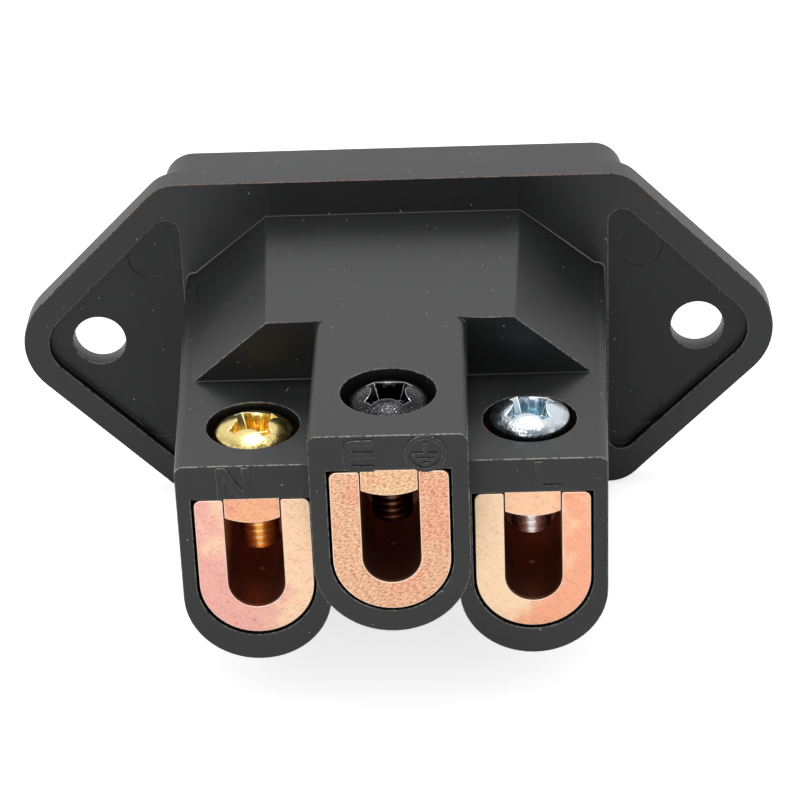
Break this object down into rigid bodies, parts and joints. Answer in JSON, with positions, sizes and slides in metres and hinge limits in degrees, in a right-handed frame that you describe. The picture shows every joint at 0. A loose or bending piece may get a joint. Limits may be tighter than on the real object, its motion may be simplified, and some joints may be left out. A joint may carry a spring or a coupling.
{
  "type": "iec panel socket",
  "caption": "Flanged panel power inlet: bevelled plug opening with flat pins in front, U-shaped copper clamp terminals with pan-head screws in half-round posts behind.",
  "frame": {"origin": "midway between the two mounting holes, on the rear plane of the flange that seats on the panel", "axes": "+X across the flange, to the right seen from the terminals; +Y out of the plug opening; +Z towards the bevelled side with the earth terminal; the terminals point to -Y"},
  "size_m": [0.05, 0.0345, 0.0232],
  "materials": {
    "housing": "fine matt moulded black, worn paler at the edges",
    "copper": "bare pink copper with a fine sawn grain",
    "brass": "bright brass",
    "black_steel": "black oxide",
    "zinc_steel": "bright zinc plate"
  },
  "bodies": {
    "socket": {"housing": "housing", "contact_neutral": "copper", "bridge_neutral": "copper", "contact_earth": "copper", "bridge_earth": "copper", "contact_line": "copper", "bridge_line": "copper"},
    "screw_neutral": {"screw_neutral": "brass"},
    "screw_earth": {"screw_earth": "black_steel"},
    "screw_line": {"screw_line": "zinc_steel"}
  },
  "joints": [
    {"name": "clamp_neutral", "type": "slide", "parent": "socket", "child": "screw_neutral", "axis": [0, 0, -1], "range_m": [-0.00412, 0.00068]},
    {"name": "clamp_earth", "type": "slide", "parent": "socket", "child": "screw_earth", "axis": [0, 0, -1], "range_m": [-0.00435, 0.00045]},
    {"name": "clamp_line", "type": "slide", "parent": "socket", "child": "screw_line", "axis": [0, 0, -1], "range_m": [-0.00351, 0.00129]}
  ]
}
